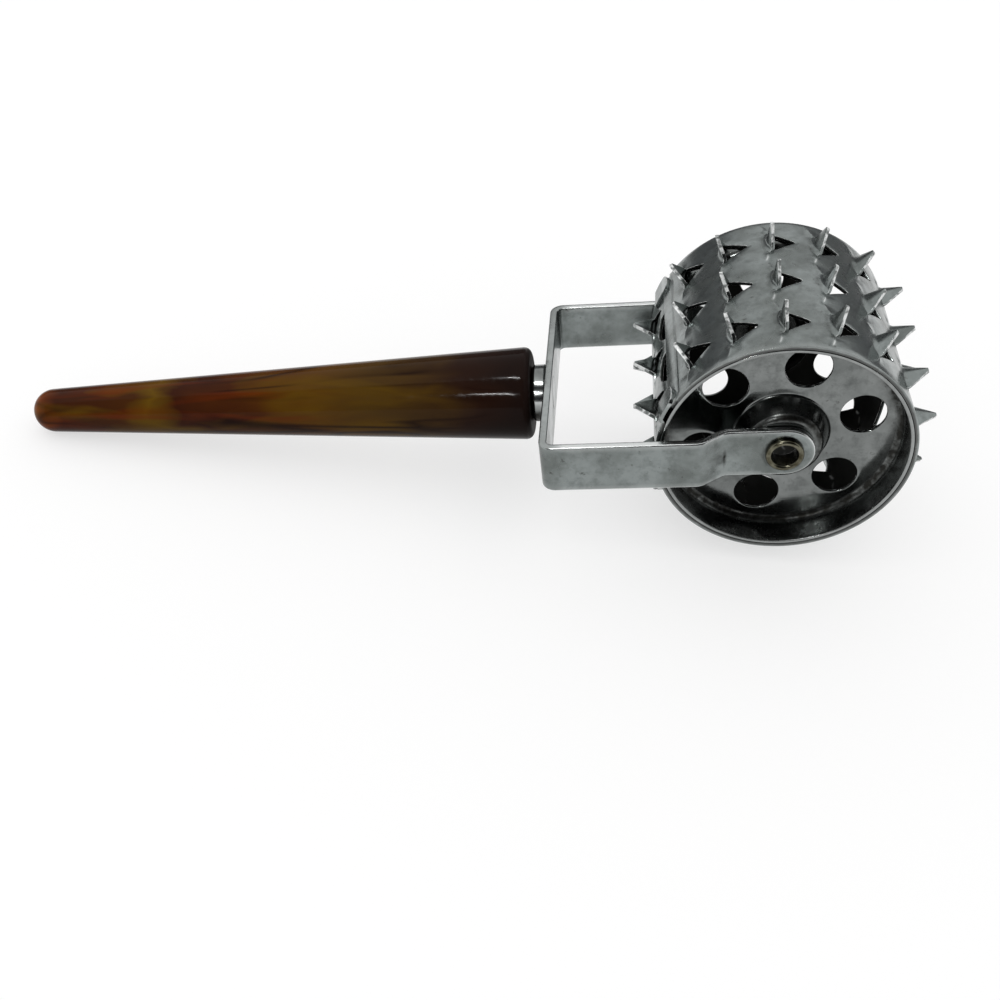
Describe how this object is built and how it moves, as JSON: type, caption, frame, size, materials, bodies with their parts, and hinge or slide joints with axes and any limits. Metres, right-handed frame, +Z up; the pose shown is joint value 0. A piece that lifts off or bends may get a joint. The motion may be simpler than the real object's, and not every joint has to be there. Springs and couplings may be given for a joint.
{
  "type": "meat tenderizer roller",
  "caption": "Kitchen roller that tenderizes meat: a spiked sheet-metal drum with pierced end cups spins on eyelets in a bent strip yoke on a tapered marbled handle.",
  "frame": {"origin": "middle of the footprint, on the table that the tool lies on", "axes": "+X from the tail of the handle to the drum, +Y along the axle away from the near side, +Z up"},
  "size_m": [0.2364, 0.0638, 0.0727],
  "materials": {
    "marbled_plastic": "polished cast plastic, marbled dark brown and amber",
    "plated_steel": "nickel-plated sheet steel with light wear",
    "bare_steel": "turned steel",
    "eyelet_brass": "dull worn brass"
  },
  "bodies": {
    "frame": {"handle": "marbled_plastic", "collar": "plated_steel", "handle_stud": "bare_steel", "yoke": "plated_steel", "near_eyelet": "eyelet_brass", "far_eyelet": "eyelet_brass"},
    "drum": {"drum_shell": "plated_steel", "near_cup": "plated_steel", "far_cup": "plated_steel"}
  },
  "joints": [
    {"name": "drum_spin", "type": "hinge", "parent": "frame", "child": "drum", "pos_m": [0.08193, 0, 0.03649], "axis": [0, 1, 0], "continuous": true}
  ]
}
